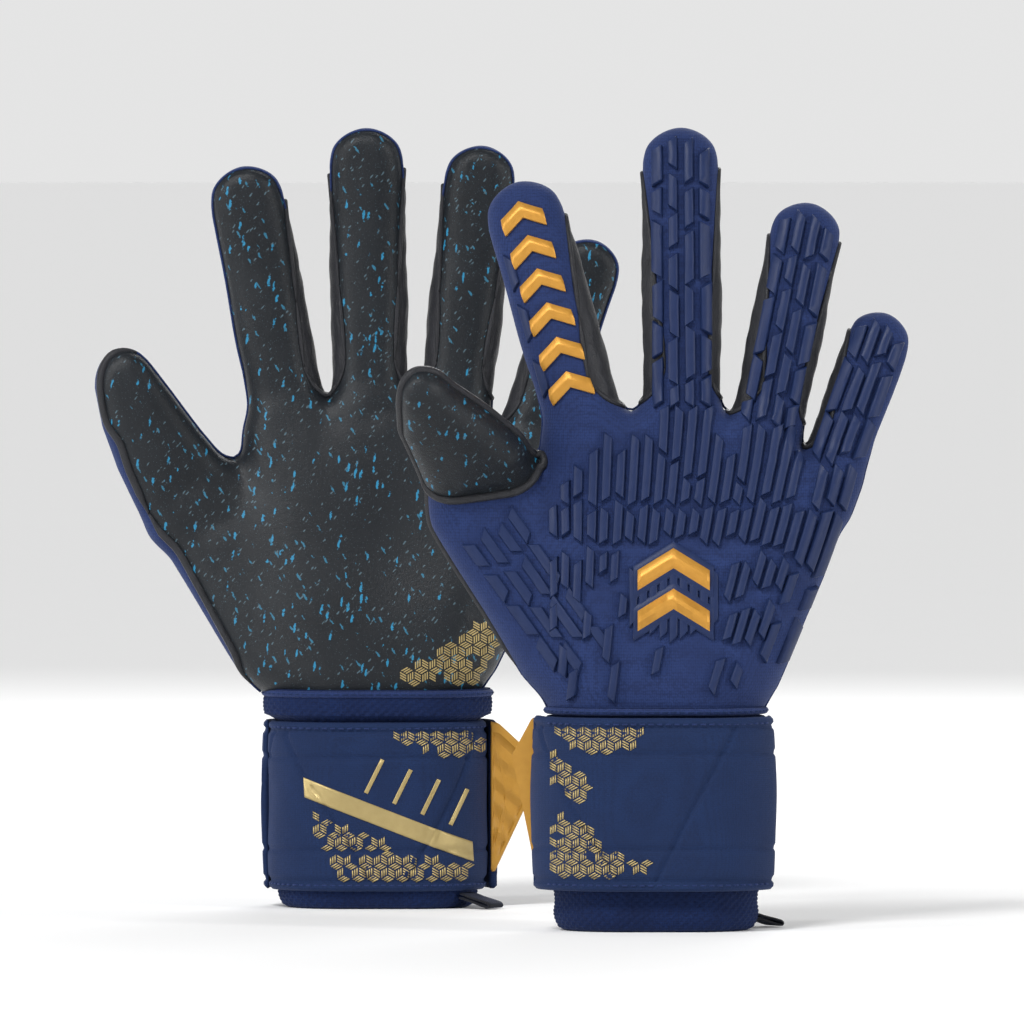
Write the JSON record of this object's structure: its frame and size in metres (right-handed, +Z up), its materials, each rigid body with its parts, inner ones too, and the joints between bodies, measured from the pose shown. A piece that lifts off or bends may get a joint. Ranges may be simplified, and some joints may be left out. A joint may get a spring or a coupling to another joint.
{
  "type": "pair of goalkeeper gloves",
  "caption": "Football goalkeeper gloves standing on their cuffs: latex palm, ribbed fabric backhand, knitted cuff with a wrap strap and jointed fingers.",
  "frame": {"origin": "on the surface the gloves stand on, under the middle of the pair's bounding box", "axes": "+Z up, from the cuffs to the fingertips; -Y towards the viewer, who sees the left glove's palm and the right glove's back; +X to the viewer's right, from the thumbs to the little fingers"},
  "size_m": [0.2889, 0.2535, 0.2813],
  "materials": {
    "latex": "matte latex foam with blue flecks",
    "navy_fabric": "knitted fabric",
    "black_leather": "smooth synthetic leather",
    "navy_moulding": "matte moulded ribs",
    "gold_moulding": "satin moulded gold",
    "navy_knit": "chunky mesh knit",
    "navy_piping": "folded binding with stitching",
    "navy_strap": "neoprene with gold print",
    "hook_tape": "hook tape",
    "amber_rubber": "embossed satin rubber",
    "black_tape": "woven tape"
  },
  "bodies": {
    "left_hand": {"left_palm_latex": "latex", "left_backhand": "navy_fabric", "left_finger_webs": "black_leather", "left_back_ribs": "navy_moulding", "left_emblem": "gold_moulding", "left_wrist_knit": "navy_knit", "left_wrist_piping": "navy_piping", "left_wrist_strap": "navy_strap"},
    "left_strap_end": {"left_strap_end": "navy_strap", "left_hook_patch": "hook_tape", "left_strap_tab": "amber_rubber"},
    "left_pull_loop": {"left_pull_loop": "black_tape"},
    "left_index_base": {"left_index_base_latex": "latex", "left_index_base_back": "navy_fabric"},
    "left_index_tip": {"left_index_tip_latex": "latex", "left_index_tip_back": "navy_fabric"},
    "left_middle_base": {"left_middle_base_latex": "latex", "left_middle_base_back": "navy_fabric"},
    "left_middle_tip": {"left_middle_tip_latex": "latex", "left_middle_tip_back": "navy_fabric"},
    "left_ring_base": {"left_ring_base_latex": "latex", "left_ring_base_back": "navy_fabric"},
    "left_ring_tip": {"left_ring_tip_latex": "latex", "left_ring_tip_back": "navy_fabric"},
    "left_pinky_base": {"left_pinky_base_latex": "latex", "left_pinky_base_back": "navy_fabric"},
    "left_pinky_tip": {"left_pinky_tip_latex": "latex", "left_pinky_tip_back": "navy_fabric"},
    "left_thumb": {"left_thumb_latex": "latex", "left_thumb_back": "navy_fabric"},
    "right_hand": {"right_palm_latex": "latex", "right_backhand": "navy_fabric", "right_finger_webs": "black_leather", "right_back_ribs": "navy_moulding", "right_emblem": "gold_moulding", "right_wrist_knit": "navy_knit", "right_wrist_piping": "navy_piping", "right_wrist_strap": "navy_strap"},
    "right_strap_end": {"right_strap_end": "navy_strap", "right_hook_patch": "hook_tape", "right_strap_tab": "amber_rubber"},
    "right_pull_loop": {"right_pull_loop": "black_tape"},
    "right_index_base": {"right_index_base_latex": "latex", "right_index_base_back": "navy_fabric"},
    "right_index_tip": {"right_index_tip_latex": "latex", "right_index_tip_back": "navy_fabric"},
    "right_middle_base": {"right_middle_base_latex": "latex", "right_middle_base_back": "navy_fabric"},
    "right_middle_tip": {"right_middle_tip_latex": "latex", "right_middle_tip_back": "navy_fabric"},
    "right_ring_base": {"right_ring_base_latex": "latex", "right_ring_base_back": "navy_fabric"},
    "right_ring_tip": {"right_ring_tip_latex": "latex", "right_ring_tip_back": "navy_fabric"},
    "right_pinky_base": {"right_pinky_base_latex": "latex", "right_pinky_base_back": "navy_fabric"},
    "right_pinky_tip": {"right_pinky_tip_latex": "latex", "right_pinky_tip_back": "navy_fabric"},
    "right_thumb": {"right_thumb_latex": "latex", "right_thumb_back": "navy_fabric"}
  },
  "joints": [
    {"name": "left_index_knuckle", "type": "hinge", "parent": "left_hand", "child": "left_index_base", "pos_m": [-0.0756, 0.08998, 0.182], "axis": [0.986, 0, 0.1668], "range_deg": [-6, 55], "stiffness_Nm_per_rad": 0.15},
    {"name": "left_index_mid", "type": "hinge", "parent": "left_index_base", "child": "left_index_tip", "pos_m": [-0.08269, 0.08551, 0.22392], "axis": [0.986, 0, 0.1668], "range_deg": [-9, 60], "stiffness_Nm_per_rad": 0.1},
    {"name": "left_middle_knuckle", "type": "hinge", "parent": "left_hand", "child": "left_middle_base", "pos_m": [-0.0456, 0.08979, 0.1859], "axis": [0.9999, 0, 0.0122], "range_deg": [-6, 55], "stiffness_Nm_per_rad": 0.15},
    {"name": "left_middle_mid", "type": "hinge", "parent": "left_middle_base", "child": "left_middle_tip", "pos_m": [-0.04617, 0.08487, 0.23264], "axis": [0.9999, 0, 0.0122], "range_deg": [-9, 60], "stiffness_Nm_per_rad": 0.1},
    {"name": "left_ring_knuckle", "type": "hinge", "parent": "left_hand", "child": "left_ring_base", "pos_m": [-0.0153, 0.09018, 0.1845], "axis": [0.9959, 0, -0.0906], "range_deg": [-6, 55], "stiffness_Nm_per_rad": 0.15},
    {"name": "left_ring_mid", "type": "hinge", "parent": "left_ring_base", "child": "left_ring_tip", "pos_m": [-0.01133, 0.08558, 0.22808], "axis": [0.9959, 0, -0.0906], "range_deg": [-9, 60], "stiffness_Nm_per_rad": 0.1},
    {"name": "left_pinky_knuckle", "type": "hinge", "parent": "left_hand", "child": "left_pinky_base", "pos_m": [0.0116, 0.09154, 0.17], "axis": [0.9483, 0, -0.3173], "range_deg": [-6, 55], "stiffness_Nm_per_rad": 0.15},
    {"name": "left_pinky_mid", "type": "hinge", "parent": "left_pinky_base", "child": "left_pinky_tip", "pos_m": [0.02312, 0.08772, 0.20442], "axis": [0.9483, 0, -0.3173], "range_deg": [-9, 60], "stiffness_Nm_per_rad": 0.1},
    {"name": "left_thumb_swing", "type": "hinge", "parent": "left_hand", "child": "left_thumb", "pos_m": [-0.1045, 0.0889, 0.145], "axis": [0.8988, 0, 0.4384], "range_deg": [-14, 45], "stiffness_Nm_per_rad": 0.2},
    {"name": "left_strap_open", "type": "hinge", "parent": "left_hand", "child": "left_strap_end", "pos_m": [-0.0847, 0.0959, 0.0365], "axis": [0, 0, 1], "range_deg": [0, 100]},
    {"name": "left_loop_swing", "type": "hinge", "parent": "left_hand", "child": "left_pull_loop", "pos_m": [-0.01088, 0.08125, 0.0044], "axis": [-0.5736, -0.8192, 0], "range_deg": [-20, 15], "stiffness_Nm_per_rad": 0.002},
    {"name": "right_index_knuckle", "type": "hinge", "parent": "right_hand", "child": "right_index_base", "pos_m": [0.0293, -0.06818, 0.1812], "axis": [-0.9668, 0, -0.2554], "range_deg": [-6, 55], "stiffness_Nm_per_rad": 0.15},
    {"name": "right_index_mid", "type": "hinge", "parent": "right_index_base", "child": "right_index_tip", "pos_m": [0.01876, -0.06384, 0.2211], "axis": [-0.9668, 0, -0.2554], "range_deg": [-9, 60], "stiffness_Nm_per_rad": 0.1},
    {"name": "right_middle_knuckle", "type": "hinge", "parent": "right_hand", "child": "right_middle_base", "pos_m": [0.0636, -0.06799, 0.1864], "axis": [-1, 0, -0.0052], "range_deg": [-6, 55], "stiffness_Nm_per_rad": 0.15},
    {"name": "right_middle_mid", "type": "hinge", "parent": "right_middle_base", "child": "right_middle_tip", "pos_m": [0.06335, -0.06305, 0.23339], "axis": [-1, 0, -0.0052], "range_deg": [-9, 60], "stiffness_Nm_per_rad": 0.1},
    {"name": "right_ring_knuckle", "type": "hinge", "parent": "right_hand", "child": "right_ring_base", "pos_m": [0.094, -0.06896, 0.18], "axis": [-0.9799, 0, 0.1994], "range_deg": [-6, 55], "stiffness_Nm_per_rad": 0.15},
    {"name": "right_ring_mid", "type": "hinge", "parent": "right_ring_base", "child": "right_ring_tip", "pos_m": [0.10149, -0.06501, 0.21679], "axis": [-0.9799, 0, 0.1994], "range_deg": [-9, 60], "stiffness_Nm_per_rad": 0.1},
    {"name": "right_pinky_knuckle", "type": "hinge", "parent": "right_hand", "child": "right_pinky_base", "pos_m": [0.1176, -0.07013, 0.1655], "axis": [-0.9397, 0, 0.342], "range_deg": [-6, 55], "stiffness_Nm_per_rad": 0.15},
    {"name": "right_pinky_mid", "type": "hinge", "parent": "right_pinky_base", "child": "right_pinky_tip", "pos_m": [0.12661, -0.06736, 0.19026], "axis": [-0.9397, 0, 0.342], "range_deg": [-9, 60], "stiffness_Nm_per_rad": 0.1},
    {"name": "right_thumb_swing", "type": "hinge", "parent": "right_hand", "child": "right_thumb", "pos_m": [-0.0045, -0.0811, 0.151], "axis": [0.9903, 0, 0.1392], "range_deg": [-50, 20], "stiffness_Nm_per_rad": 0.2},
    {"name": "right_strap_open", "type": "hinge", "parent": "right_hand", "child": "right_strap_end", "pos_m": [0.096, -0.0741, 0.0445], "axis": [0, 0, 1], "range_deg": [0, 100]},
    {"name": "right_loop_swing", "type": "hinge", "parent": "right_hand", "child": "right_pull_loop", "pos_m": [0.08702, -0.05946, 0.0044], "axis": [0.5736, -0.8192, 0], "range_deg": [-20, 15], "stiffness_Nm_per_rad": 0.002},
    {"name": "right_glove_lift", "type": "slide", "parent": "left_hand", "child": "right_hand", "axis": [0, 0, 1], "range_m": [0, 0.3]}
  ]
}
